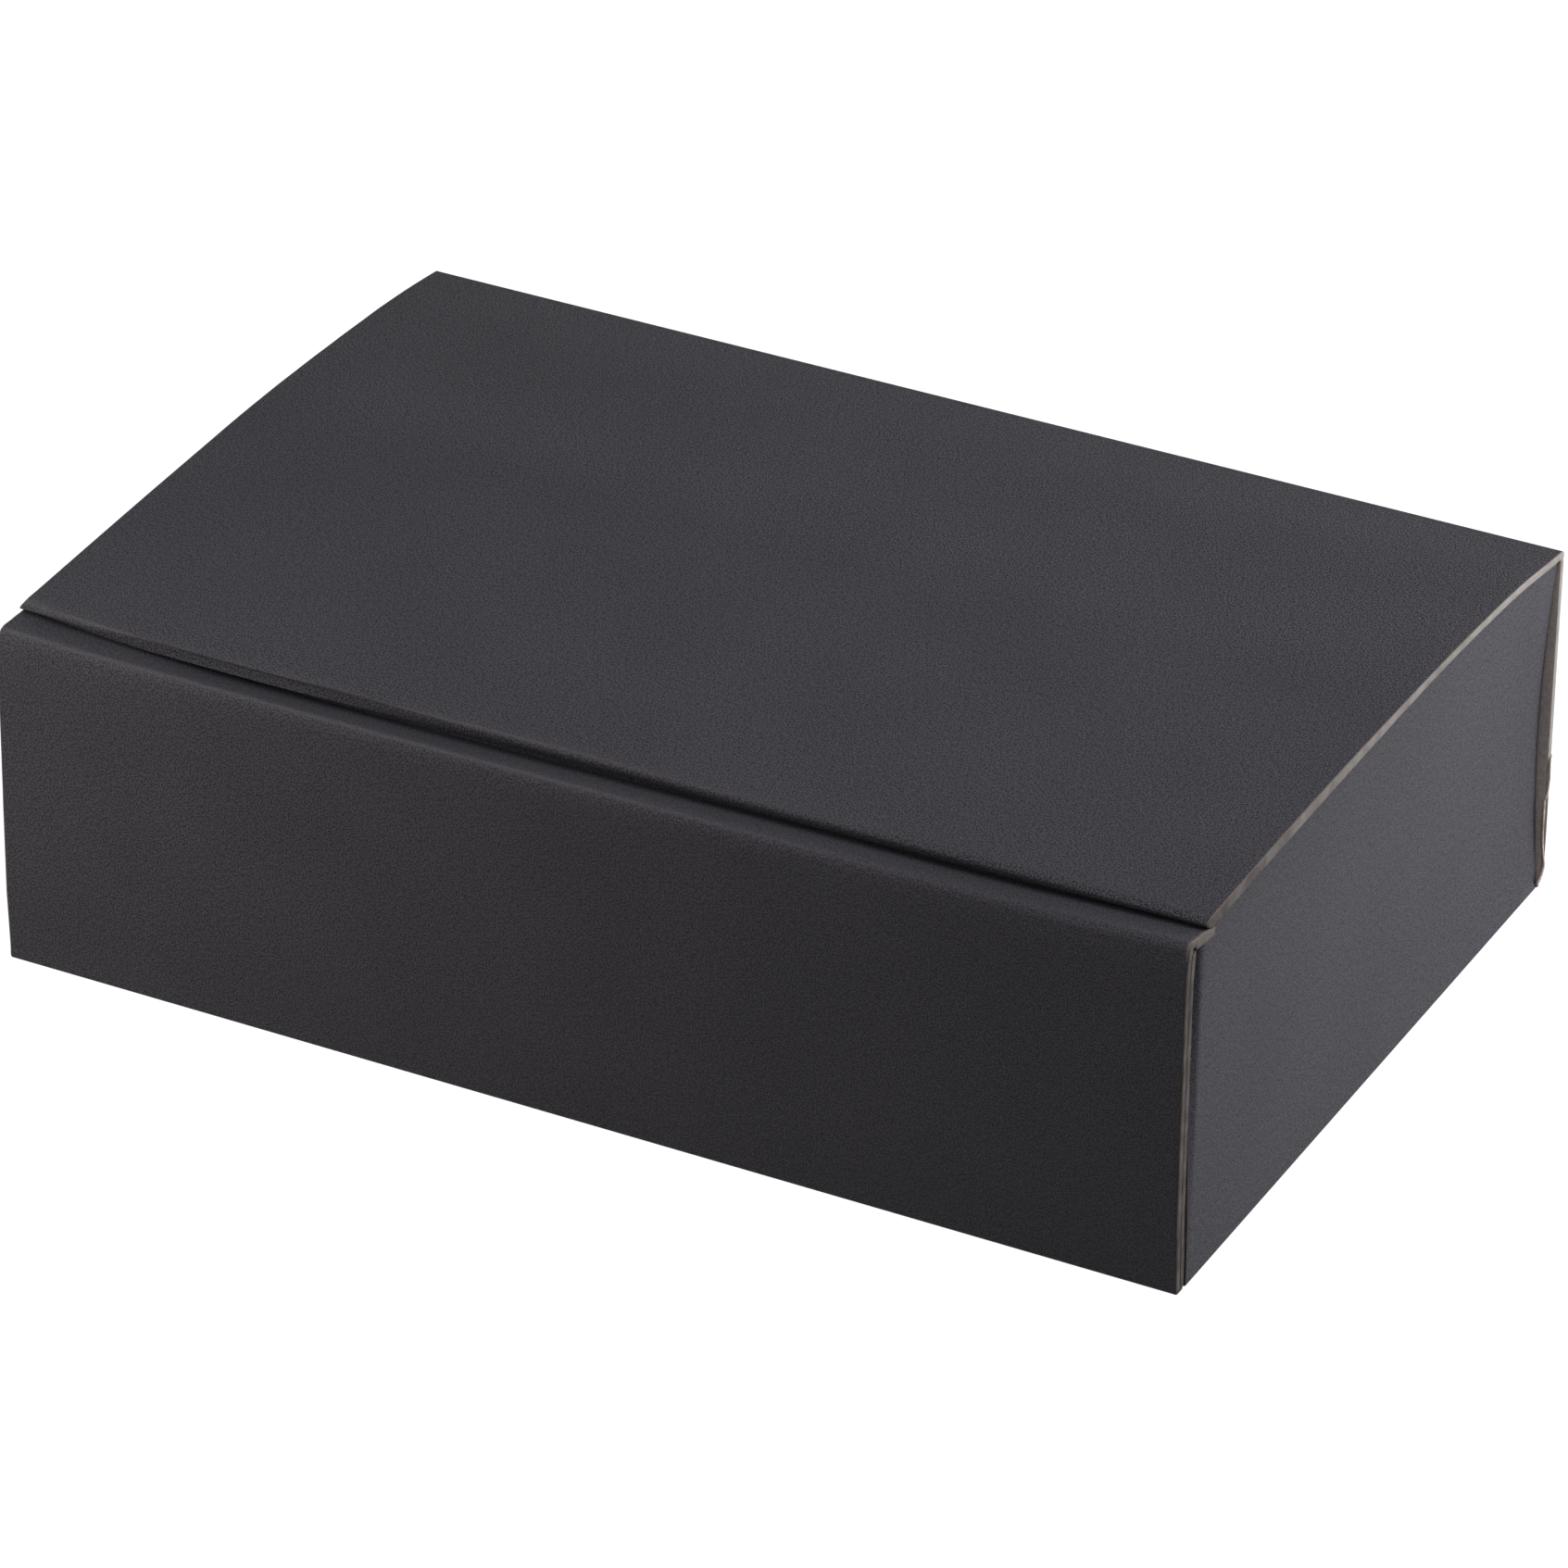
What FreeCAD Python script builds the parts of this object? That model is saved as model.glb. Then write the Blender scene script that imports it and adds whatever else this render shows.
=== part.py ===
import FreeCAD, Part
import math
import os

# Folding gift box of black-faced micro-flute board, closed by a magnetic front flap.
# Millimetres, +Z up, +X along the lid's hinge, -Y towards the flap.
# The origin is the centre of the bounding box's underside.

# Whole box, over the cut edges of the lid, flap and back wall
box_length = 230.0       # along the hinge
box_depth = 156.0        # from the flap's outer face at its folds to the back wall's outer face
box_height = 69.0        # from the table to the lid's upper face at its front and back edges

# Board and folds
board = 1.5              # thickness of every panel
fold_round = 0.8         # outer radius of the tray's creased edges
bead_clearance = 0.05    # between a hinge's crease and the panels beside it
mitre_clearance = 0.1    # each panel stays this far back from the line where two panels meet
body_clearance = 0.3     # between panels that move on each other

# Lid: bowed up along its length, with its front edge slanting back over the groove
lid_setback = 6.6        # from the flap's outer face back to the lid's front edge
crown_left = 2.4         # rise of the bowed lid above its edges, at the left end
crown_right = 3.0        # the same at the right end
lid_nose_round = 0.5     # rounding of the lid's upper front edge
groove_undercut = 1.3    # how far the groove's back slants in under the lid
strip_drop = 1.8         # from the lid's upper face at its edge down to the strip's upper face

# Flap: two plies glued back to back and folded at the bottom
flap_bow = 0.8           # how far the middle of the flap's height stands out
flap_lift = 0.3          # from the table to the flap's bottom fold
flap_gap = 0.6           # between the flap and the front wall, at the flap's folds

# End walls: folded up from the bottom panel, leaning in
foot_inset = 0.7         # from the lid's cut end in to the end wall's foot
top_inset = 1.9          # the same at the end wall's upper edge
notch_run = 0.6          # from the strip's rear edge to the step in the end wall's upper edge

# Corner tabs and the tape that holds them
tab_length = 24.0
tab_taper = 5.0          # how much the free end of a tab is cut back, above and below
tab_margin = 1.0         # from the bottom panel to a tab, and from a tab to the wall's upper edge
tape_thickness = 0.15
tape_width = 12.0
tape_margin = 6.0        # from each end of a tab to the end of its tape
ply_margin = 0.5         # from a front tab to the end of the front wall's inner ply

# Closure: two magnets in the flap, two steel discs in the front wall
closure_spacing = 130.0
disc_radius = 5.0
disc_thickness = 1.0
disc_clearance = 0.1     # between a disc and its recess, round it and over both faces together

# How far cutting shapes run past what they cut
overrun = 5.0

# Places that follow from the sizes
half_length = box_length / 2
y_back = (box_depth + flap_bow) / 2
y_front = y_back - box_depth
bead_radius = board / 2
lid_axis_y = y_back - bead_radius
lid_axis_z = box_height - bead_radius
lid_under = box_height - board
lid_front = y_front + lid_setback
strip_top = box_height - strip_drop
strip_under = strip_top - board
strip_rear = lid_front + groove_undercut + board
flap_axis_y = y_front + bead_radius
flap_axis_z = strip_top - bead_radius
flap_fold_z = flap_lift + board
flap_middle_z = (flap_fold_z + flap_axis_z) / 2
wall_front = y_front + 2 * board + flap_gap
front_wall_top = strip_under - body_clearance
front_fold_z = front_wall_top - board
end_wall_top = lid_under - body_clearance
back_inner = y_back - board
end_wall_back = back_inner - tape_thickness
foot_x = half_length - foot_inset
lean_share = (top_inset - foot_inset) / end_wall_top
tape_face = board + tape_thickness
tab_face = board + tape_thickness + board
tab_foot = board + tab_margin


def wall_x(inward, z):
    """X of the right end wall's outer face at height z, or of a face further in by inward."""
    return foot_x - lean_share * z - inward


def points_yz(x, pairs):
    return [FreeCAD.Vector(x, y, z) for y, z in pairs]


def points_xz(y, pairs):
    return [FreeCAD.Vector(x, y, z) for x, z in pairs]


def closed_face(points):
    return Part.Face(Part.makePolygon(points + [points[0]]))


def line(a, b):
    return Part.LineSegment(a, b).toShape()


def arc(a, middle, b):
    return Part.Arc(a, middle, b).toShape()


def block(x_low, x_high, y_low, y_high, z_low, z_high):
    corner = FreeCAD.Vector(x_low, y_low, z_low)
    return Part.makeBox(x_high - x_low, y_high - y_low, z_high - z_low, corner)


def prism_along_x(x_low, x_high, pairs):
    """A solid with the (y, z) outline pairs, from x_low to x_high."""
    return closed_face(points_yz(x_low, pairs)).extrude(FreeCAD.Vector(x_high - x_low, 0, 0))


def prism_along_y(y_low, y_high, pairs):
    """A solid with the (x, z) outline pairs, from y_low to y_high."""
    return closed_face(points_xz(y_low, pairs)).extrude(FreeCAD.Vector(0, y_high - y_low, 0))


def rod(radius, y, z, half):
    """A round rod along X, centred on (y, z), reaching half each way."""
    return Part.makeCylinder(radius, 2 * half, FreeCAD.Vector(-half, y, z), FreeCAD.Vector(1, 0, 0))


def disc(x, y_low, z, radius, thickness):
    """A flat round disc that faces along Y, from y_low."""
    return Part.makeCylinder(radius, thickness, FreeCAD.Vector(x, y_low, z), FreeCAD.Vector(0, 1, 0))


def mitre_cutter(y, z, along_y, along_z):
    """A quarter turn of space round the crease at (y, z), facing (along_y, along_z). Taken from a panel, it
    leaves the panel behind its mitre line with the neighbour that lies, or swings, on that side."""
    reach = board + overrun
    tip_y = y - along_y * mitre_clearance
    tip_z = z - along_z * mitre_clearance
    return prism_along_x(-half_length - overrun, half_length + overrun, [
        (tip_y, tip_z),
        (tip_y + reach * (along_y + along_z), tip_z + reach * (along_z + along_y)),
        (tip_y + reach * (along_y - along_z), tip_z + reach * (along_z - along_y)),
    ])


def crease_cutter(y, z):
    """The round space that a hinge's crease takes out of the panels beside it."""
    return rod(bead_radius + bead_clearance, y, z, half_length + overrun)


def edge_towards(shape, axis, x, y, z):
    """Of the shape's edges that run along axis, the one furthest in the direction (x, y, z)."""
    def runs_along(edge):
        box = edge.BoundBox
        lengths = {"x": box.XLength, "y": box.YLength, "z": box.ZLength}
        return max(lengths, key=lengths.get) == axis

    def reach(edge):
        centre = edge.BoundBox.Center
        return x * centre.x + y * centre.y + z * centre.z

    return max(filter(runs_along, shape.Edges), key=reach)


def slanted_slab(outer, inner, y_low, y_high, z_low, z_high):
    """A slab parallel to the right end wall, between two distances in from its outer face."""
    return prism_along_y(y_low, y_high, [
        (wall_x(outer, z_low), z_low),
        (wall_x(outer, z_high), z_high),
        (wall_x(inner, z_high), z_high),
        (wall_x(inner, z_low), z_low),
    ])


def write(name, shape):
    shape.exportStep("parts/" + name + ".step")


def write_pair(name, right):
    """The right-hand piece and its mirror image on the left."""
    left = right.mirror(FreeCAD.Vector(0, 0, 0), FreeCAD.Vector(1, 0, 0))
    write("right_" + name, right)
    write("left_" + name, left)


def bottom_panel():
    return prism_along_y(wall_front + board, back_inner, [
        (-wall_x(board, 0), 0),
        (wall_x(board, 0), 0),
        (wall_x(board, board), board),
        (-wall_x(board, board), board),
    ])


def back_wall():
    """Full-length panel with cut ends, rounded where it folds under and open above for the lid's crease."""
    x = -half_length
    foot_inner = FreeCAD.Vector(x, back_inner, 0)
    foot_outer = FreeCAD.Vector(x, y_back - fold_round, 0)
    half_turn = fold_round * math.sqrt(0.5)
    bend = FreeCAD.Vector(x, y_back - fold_round + half_turn, fold_round - half_turn)
    rise = FreeCAD.Vector(x, y_back, fold_round)
    top_outer = FreeCAD.Vector(x, y_back, lid_axis_z)
    top_inner = FreeCAD.Vector(x, back_inner, lid_axis_z)
    outline = Part.Wire([
        line(foot_inner, foot_outer),
        arc(foot_outer, bend, rise),
        line(rise, top_outer),
        line(top_outer, top_inner),
        line(top_inner, foot_inner),
    ])
    panel = Part.Face(outline).extrude(FreeCAD.Vector(box_length, 0, 0))
    panel = panel.cut(crease_cutter(lid_axis_y, lid_axis_z))
    for side in (-1, 1):
        panel = panel.cut(mitre_cutter(lid_axis_y, lid_axis_z, side, 0))
    return panel


def front_wall_outer():
    """Outer ply of the front wall, between the end walls, rounded where it folds under."""
    ply = prism_along_y(wall_front, wall_front + board, [
        (-wall_x(board, 0), 0),
        (wall_x(board, 0), 0),
        (wall_x(board, front_fold_z), front_fold_z),
        (-wall_x(board, front_fold_z), front_fold_z),
    ])
    ply = ply.makeFillet(fold_round, [edge_towards(ply, "x", 0, -1, -1)])
    recess_y = wall_front + board - disc_thickness - disc_clearance
    for side in (-1, 1):
        x = side * closure_spacing / 2
        ply = ply.cut(disc(x, recess_y, flap_middle_z, disc_radius + disc_clearance,
                           disc_thickness + disc_clearance + overrun))
    return ply


def front_inner_half():
    """Half length of the front wall's inner ply, which ends beside the front tabs."""
    return wall_x(tab_face, front_wall_top) - ply_margin


def front_wall_inner():
    half = front_inner_half()
    return block(-half, half, wall_front + board, wall_front + 2 * board, board, front_fold_z)


def half_round(half, y, z, radius, up):
    """Half a rod along X: the upper half if up is 1, the lower half if it is -1."""
    a = FreeCAD.Vector(-half, y - radius, z)
    b = FreeCAD.Vector(-half, y, z + up * radius)
    c = FreeCAD.Vector(-half, y + radius, z)
    return Part.Face(Part.Wire([arc(a, b, c), line(c, a)])).extrude(FreeCAD.Vector(2 * half, 0, 0))


def front_wall_top_fold():
    return half_round(front_inner_half(), wall_front + board, front_fold_z, board, 1)


def right_end_wall():
    """Panel between front and back walls, stepped down in front where the lid's strip passes over it."""
    notch_end = strip_rear + notch_run
    outline = prism_along_x(0, half_length, [
        (wall_front, 0),
        (end_wall_back, 0),
        (end_wall_back, end_wall_top),
        (notch_end, end_wall_top),
        (notch_end, front_wall_top),
        (wall_front, front_wall_top),
    ])
    wall = slanted_slab(0, board, wall_front, end_wall_back, 0, end_wall_top).common(outline)
    return wall.makeFillet(fold_round, [edge_towards(wall, "y", 1, 0, -1), edge_towards(wall, "z", 1, 1, 0)])


def right_front_tab():
    """Tab of the front wall, folded back inside the end wall."""
    root = wall_front + board
    tip = root + tab_length
    top = front_wall_top - tab_margin
    outline = prism_along_x(0, half_length, [
        (root, tab_foot),
        (tip, tab_foot + tab_taper),
        (tip, top - tab_taper),
        (root, top),
    ])
    slab = slanted_slab(tape_face, tab_face, root, tip, 0, end_wall_top)
    return slab.common(outline)


def right_front_tape():
    middle = wall_front + board + tab_length / 2
    return slanted_slab(board, tape_face, middle - tape_width / 2, middle + tape_width / 2,
                        tab_foot + tape_margin, front_wall_top - tab_margin - tape_margin)


def right_back_tab():
    """Tab of the end wall, folded in along the back wall."""
    top = end_wall_top - tab_margin
    tip = wall_x(board, top) - tab_length
    return prism_along_y(end_wall_back - board, end_wall_back, [
        (wall_x(board, tab_foot), tab_foot),
        (wall_x(board, top), top),
        (tip, top - tab_taper),
        (tip, tab_foot + tab_taper),
    ])


def right_back_tape():
    middle = wall_x(board, end_wall_top - tab_margin) - tab_length / 2
    return block(middle - tape_width / 2, middle + tape_width / 2, end_wall_back, back_inner,
                 tab_foot + tape_margin, end_wall_top - tab_margin - tape_margin)


def steel_disc(x):
    y = wall_front + board - disc_clearance / 2 - disc_thickness
    return disc(x, y, flap_middle_z, disc_radius, disc_thickness)


def lid_hinge_crease():
    return rod(bead_radius, lid_axis_y, lid_axis_z, half_length)


def lid_section(x, crown):
    """The lid's outline at one end: nose, bowed upper face, hinge end, bowed underside, slanting front."""
    nose_top = FreeCAD.Vector(x, lid_front + lid_nose_round, box_height)
    nose_low = FreeCAD.Vector(x, lid_front, box_height - lid_nose_round)
    turn = lid_nose_round * (1 - math.sqrt(0.5))
    nose_middle = FreeCAD.Vector(x, lid_front + turn, box_height - turn)
    hinge_top = FreeCAD.Vector(x, lid_axis_y, box_height)
    hinge_low = FreeCAD.Vector(x, lid_axis_y, lid_under)
    front_low = FreeCAD.Vector(x, lid_front + groove_undercut * board / strip_drop, lid_under)
    middle_y = (lid_front + lid_axis_y) / 2
    crest_top = FreeCAD.Vector(x, middle_y, box_height + crown)
    crest_low = FreeCAD.Vector(x, middle_y, lid_under + crown)
    return Part.Wire([
        arc(nose_low, nose_middle, nose_top),
        arc(nose_top, crest_top, hinge_top),
        line(hinge_top, hinge_low),
        arc(hinge_low, crest_low, front_low),
        line(front_low, nose_low),
    ])


def lid_panel():
    sections = [lid_section(-half_length, crown_left), lid_section(half_length, crown_right)]
    panel = Part.makeLoft(sections, True, True)
    panel = panel.cut(crease_cutter(lid_axis_y, lid_axis_z))
    for side in (-1, 1):
        panel = panel.cut(mitre_cutter(lid_axis_y, lid_axis_z, 0, side))
    return panel


def groove_web():
    """Crushed board between the lid's underside and the strip, at the back of the groove."""
    return block(-half_length, half_length, strip_rear - board, strip_rear, strip_top, lid_under)


def hinge_strip():
    strip = block(-half_length, half_length, flap_axis_y, strip_rear, strip_under, strip_top)
    strip = strip.cut(crease_cutter(flap_axis_y, flap_axis_z))
    return strip.cut(mitre_cutter(flap_axis_y, flap_axis_z, 0, -1))


def flap_crease():
    return rod(bead_radius, flap_axis_y, flap_axis_z, half_length)


def bowed_ply(outer, z_low, z_high):
    """One ply of the flap, from outer behind the flap's outer face to one board further in."""
    x = -half_length
    corners = points_yz(x, [
        (y_front + outer, z_low),
        (y_front + outer, z_high),
        (y_front + outer + board, z_high),
        (y_front + outer + board, z_low),
    ])
    middle_z = (z_low + z_high) / 2
    crest_outer = FreeCAD.Vector(x, y_front + outer - flap_bow, middle_z)
    crest_inner = FreeCAD.Vector(x, y_front + outer + board - flap_bow, middle_z)
    outline = Part.Wire([
        arc(corners[0], crest_outer, corners[1]),
        line(corners[1], corners[2]),
        arc(corners[2], crest_inner, corners[3]),
        line(corners[3], corners[0]),
    ])
    return Part.Face(outline).extrude(FreeCAD.Vector(box_length, 0, 0))


def flap_outer_ply():
    ply = bowed_ply(0, flap_fold_z, flap_axis_z)
    ply = ply.cut(crease_cutter(flap_axis_y, flap_axis_z))
    return ply.cut(mitre_cutter(flap_axis_y, flap_axis_z, 1, 0))


def flap_inner_ply():
    """Inner ply, ending under the strip, with a recess for each magnet in its glued face."""
    ply = bowed_ply(board, flap_fold_z, flap_axis_z)
    trim = block(-half_length - overrun, half_length + overrun, y_front - overrun, y_front + overrun,
                 strip_under - body_clearance, strip_top + overrun)
    ply = ply.cut(trim)
    for side in (-1, 1):
        x = side * closure_spacing / 2
        glued_face = y_front + board - flap_bow
        ply = ply.cut(disc(x, glued_face - overrun, flap_middle_z, disc_radius + disc_clearance,
                           overrun + disc_thickness + disc_clearance))
    return ply


def flap_bottom_fold():
    return half_round(half_length, y_front + board, flap_fold_z, board, -1)


def flap_magnet(x):
    y = y_front + board - flap_bow + disc_clearance / 2
    return disc(x, y, flap_middle_z, disc_radius, disc_thickness)


def build_tray():
    write("bottom_panel", bottom_panel())
    write("back_wall", back_wall())
    write("front_wall_outer", front_wall_outer())
    write("front_wall_inner", front_wall_inner())
    write("front_wall_top_fold", front_wall_top_fold())
    write_pair("end_wall", right_end_wall())
    write_pair("front_tab", right_front_tab())
    write_pair("front_tape", right_front_tape())
    write_pair("back_tab", right_back_tab())
    write_pair("back_tape", right_back_tape())
    write_pair("steel_disc", steel_disc(closure_spacing / 2))
    write("lid_hinge_crease", lid_hinge_crease())


def build_lid():
    write("lid_panel", lid_panel())
    write("groove_web", groove_web())
    write("hinge_strip", hinge_strip())
    write("flap_crease", flap_crease())


def build_flap():
    write("flap_outer_ply", flap_outer_ply())
    write("flap_inner_ply", flap_inner_ply())
    write("flap_bottom_fold", flap_bottom_fold())
    write_pair("flap_magnet", flap_magnet(closure_spacing / 2))


os.makedirs("parts", exist_ok=True)
build_tray()
build_lid()
build_flap()
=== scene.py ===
import bmesh
import bpy
import math
import numpy as np
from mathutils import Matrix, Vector


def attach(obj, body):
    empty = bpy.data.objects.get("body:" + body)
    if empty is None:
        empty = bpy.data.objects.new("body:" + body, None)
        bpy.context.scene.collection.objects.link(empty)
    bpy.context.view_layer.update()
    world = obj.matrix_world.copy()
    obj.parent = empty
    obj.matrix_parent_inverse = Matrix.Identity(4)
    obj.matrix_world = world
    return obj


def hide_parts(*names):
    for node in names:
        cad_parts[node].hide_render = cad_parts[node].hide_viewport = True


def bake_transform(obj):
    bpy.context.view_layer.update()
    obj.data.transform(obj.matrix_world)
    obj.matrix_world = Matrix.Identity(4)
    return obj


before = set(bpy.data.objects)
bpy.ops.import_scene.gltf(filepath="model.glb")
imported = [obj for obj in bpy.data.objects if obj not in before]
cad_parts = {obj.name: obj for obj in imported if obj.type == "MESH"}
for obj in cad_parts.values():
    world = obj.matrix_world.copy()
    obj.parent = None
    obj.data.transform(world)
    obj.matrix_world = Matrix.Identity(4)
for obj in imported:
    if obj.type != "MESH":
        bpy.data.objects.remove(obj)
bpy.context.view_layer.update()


# ---------------------------------------------------------------- bottom panel
# The floor of the box, from whose four sides the walls fold up. It is micro-flute board: black paper outside,
# grey-brown kraft paper inside and a pale fluted core, die-cut and creased from one sheet with all the rest.

mm = 0.001
board = 1.5               # thickness of the board
soft_edge = 0.14          # how far the die presses a cut edge round
hem = 0.5                 # from the rim of a panel to the next line of its mesh

# Lines round a cut edge: how deep each lies in the board, and its share of soft_edge back from the furthest line
rim_depth_shares = [0, 0.06, 0.2, 0.5, 0.8, 0.94, 1]
rim_back_shares = [1, 0.35, 0, 0.3, 0, 0.35, 1]


def grid_lines(low, high, pitch):
    """Places of the mesh lines across a panel: one at a hem's width from each rim and the rest pitch apart."""
    count = max(1, round((high - low - 2 * hem) / pitch))
    step = (high - low - 2 * hem) / count
    return [low] + [low + hem + step * k for k in range(count + 1)] + [high]


def ragged(place, depth):
    """Unevenness of a die-cut edge, from -1 to 1, at a place along it and a share of its depth."""
    return (0.5 * math.sin(1.9 * place + 4 * depth) + 0.3 * math.sin(4.3 * place - 7 * depth)
            + 0.2 * math.sin(8.9 * place + 11 * depth))


def running_length(points):
    total = [0.0]
    for p, q in zip(points, points[1:]):
        total.append(total[-1] + math.dist(p, q))
    return total


def new_piece(name, mesh, sharp):
    """A scene object of the mesh, smooth but for edges where its faces meet at more than the angle sharp."""
    shape = bmesh.new()
    shape.from_mesh(mesh)
    bmesh.ops.recalc_face_normals(shape, faces=shape.faces)
    for edge in shape.edges:
        edge.smooth = edge.calc_face_angle(0.0) < sharp
    for face in shape.faces:
        face.smooth = True
    shape.to_mesh(mesh)
    shape.free()
    piece = bpy.data.objects.new(name, mesh)
    bpy.context.scene.collection.objects.link(piece)
    return piece


def board_piece(name, along, across, outer, inner, cut, finish, roughness=0.03, start=(0, 0),
                rub=lambda a, c: 0.15, stretch_and_highlight=lambda a, c: 0.0, edge_soil_and_shade=lambda a, c, depth: 0.0,
                grain=lambda a, c: 0.4):
    """A closed mesh of one piece of board. outer and inner give the points of its two faces in millimetres, for a
    place along and across it. cut names the sides that are die-cut: left, right, near and far. The places towards
    a cut side are in millimetres too. finish is the material of the outer face, the inner face and the rim. The
    map "sheet" holds each point's place on the flat sheet in metres, and start is where the piece begins there, in
    millimetres.
    rub is how far in from a cut edge the paper is rubbed pale. The fold share is how far a fold has stretched it
    pale, with a painted highlight on it. The soil share is how dark the cut edge is, from dirt and from painted
    shade. The grain share is how strong the paper's grain is, with painted sheen on its specks on the lid. The last
    three are from 0 to 1."""
    columns, rows = len(along), len(across)
    back = {side: soft_edge if side in cut else 0 for side in ("left", "right", "near", "far")}
    a_lines = [along[0] + back["left"], *along[1:-1], along[-1] - back["right"]]
    c_lines = [across[0] + back["near"], *across[1:-1], across[-1] - back["far"]]
    u_lines = running_length([outer(a, across[rows // 2]) for a in along])
    v_lines = running_length([outer(along[columns // 2], c) for c in across])
    points, faces, mats, sheet, rubbed, pale, soil_and_shade, grain_and_sheen_values = [], [], [], [], [], [], [], []

    def from_cut(i, j):
        """Distance from the nearest cut side in widths of the rubbed band."""
        runs = {"left": u_lines[i], "right": u_lines[-1] - u_lines[i], "near": v_lines[j],
                "far": v_lines[-1] - v_lines[j]}
        return min([runs[side] / rub(along[i], across[j]) for side in cut] + [20.0])

    def add(a, c, depth, i, j):
        p, q = outer(a, c), inner(a, c)
        points.append([(p[k] + (q[k] - p[k]) * depth) * mm for k in range(3)])
        rubbed.append(from_cut(i, j))
        pale.append(stretch_and_highlight(along[i], across[j]))
        soil_and_shade.append(edge_soil_and_shade(along[i], across[j], depth))
        grain_and_sheen_values.append(grain(along[i], across[j]))
        return len(points) - 1

    def lay(corners, places, mat):
        faces.append(corners)
        mats.append(mat)
        sheet.extend((u * mm, v * mm) for u, v in places)

    top = [[add(a, c, 0, i, j) for j, c in enumerate(c_lines)] for i, a in enumerate(a_lines)]
    under = [[add(a, c, 1, i, j) for j, c in enumerate(c_lines)] for i, a in enumerate(a_lines)]
    for side, grid in ((0, top), (1, under)):
        for i in range(columns - 1):
            for j in range(rows - 1):
                spots = [(i, j), (i + 1, j), (i + 1, j + 1), (i, j + 1)]
                lay([grid[m][n] for m, n in spots],
                    [(start[0] + u_lines[m], start[1] + v_lines[n]) for m, n in spots], side)

    ring = [(i, 0) for i in range(columns)] + [(columns - 1, j) for j in range(1, rows)]
    ring += [(i, rows - 1) for i in range(columns - 2, -1, -1)] + [(0, j) for j in range(rows - 2, 0, -1)]
    run = [0.0]
    for (i, j), (m, n) in zip(ring, ring[1:] + ring[:1]):
        run.append(run[-1] + abs(u_lines[m] - u_lines[i]) + abs(v_lines[n] - v_lines[j]))
    loops = [[top[i][j] for i, j in ring]]
    for depth, stand in zip(rim_depth_shares[1:-1], rim_back_shares[1:-1]):
        loop = []
        for place, (i, j) in zip(run, ring):
            out = soft_edge * (1 - stand) + roughness * ragged(place, depth)
            a = a_lines[i] - (out if i == 0 and back["left"] else 0) + (
                out if i == columns - 1 and back["right"] else 0)
            c = c_lines[j] - (out if j == 0 and back["near"] else 0) + (
                out if j == rows - 1 and back["far"] else 0)
            loop.append(add(a, c, depth, i, j))
        loops.append(loop)
    loops.append([under[i][j] for i, j in ring])
    for k in range(len(loops) - 1):
        low, high = rim_depth_shares[k] * board, rim_depth_shares[k + 1] * board
        for p in range(len(ring)):
            q = (p + 1) % len(ring)
            lay([loops[k][p], loops[k][q], loops[k + 1][q], loops[k + 1][p]],
                [(run[p], low), (run[p + 1], low), (run[p + 1], high), (run[p], high)], 2)

    mesh = bpy.data.meshes.new(name)
    mesh.from_pydata(points, [], faces)
    for material in finish:
        mesh.materials.append(material)
    mesh.polygons.foreach_set("material_index", mats)
    mesh.uv_layers.new(name="sheet").uv.foreach_set("vector", np.array(sheet, np.float32).ravel())
    # These attributes also carry painted light: the stretched share a painted highlight on folds, the soiled share
    # painted shade on cut edges, and the grained share painted sheen on the lid's specks.
    for title, values in (("rubbed", rubbed), ("stretched_and_highlit", pale), ("soil_and_shade", soil_and_shade), ("grain_and_sheen", grain_and_sheen_values)):
        mesh.attributes.new(title, "FLOAT", "POINT").data.foreach_set("value", values)
    return new_piece(name, mesh, math.radians(60))


def place_on(piece, body, node):
    """The piece rides on its body and stands for its CAD node."""
    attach(piece, body)
    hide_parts(node)


def add_node(tree, kind, inputs=None, **settings):
    """A shader node whose inputs are numbers, colours or the outputs of other nodes."""
    made = tree.nodes.new(kind)
    for key, value in settings.items():
        setattr(made, key, value)
    for key, value in (inputs or {}).items():
        if isinstance(value, bpy.types.NodeSocket):
            tree.links.new(value, made.inputs[key])
        else:
            made.inputs[key].default_value = value
    return made


def new_group(name, inputs, outputs):
    """An empty shader node group, with its input and output nodes."""
    group = bpy.data.node_groups.new(name, "ShaderNodeTree")
    for title, kind, value in inputs:
        socket = group.interface.new_socket(title, in_out="INPUT", socket_type="NodeSocket" + kind)
        socket.default_value = value
    for title, kind in outputs:
        group.interface.new_socket(title, in_out="OUTPUT", socket_type="NodeSocket" + kind)
    return group, group.nodes.new("NodeGroupInput").outputs, group.nodes.new("NodeGroupOutput").inputs


def math_node(tree, operation, a, b=0.0, clamp=False):
    return add_node(tree, "ShaderNodeMath", {0: a, 1: b}, operation=operation, use_clamp=clamp).outputs[0]


def ramp(tree, value, low, high, to_low=0.0, to_high=1.0):
    """value from low to high becomes to_low to to_high, smoothly."""
    return add_node(tree, "ShaderNodeMapRange", {"Value": value, "From Min": low, "From Max": high,
                    "To Min": to_low, "To Max": to_high}, interpolation_type="SMOOTHSTEP").outputs[0]


def mix_colour(tree, share, a, b):
    return add_node(tree, "ShaderNodeMix", {0: share, 6: a, 7: b}, data_type="RGBA").outputs[2]


def noise(tree, vector, scale, detail=2.0, roughness=0.5):
    return add_node(tree, "ShaderNodeTexNoise", {"Vector": vector, "Scale": scale, "Detail": detail,
                    "Roughness": roughness}).outputs["Fac"]


def scaled(tree, vector, x, y, z):
    return add_node(tree, "ShaderNodeVectorMath", {0: vector, 1: (x, y, z)}, operation="MULTIPLY").outputs[0]


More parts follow.
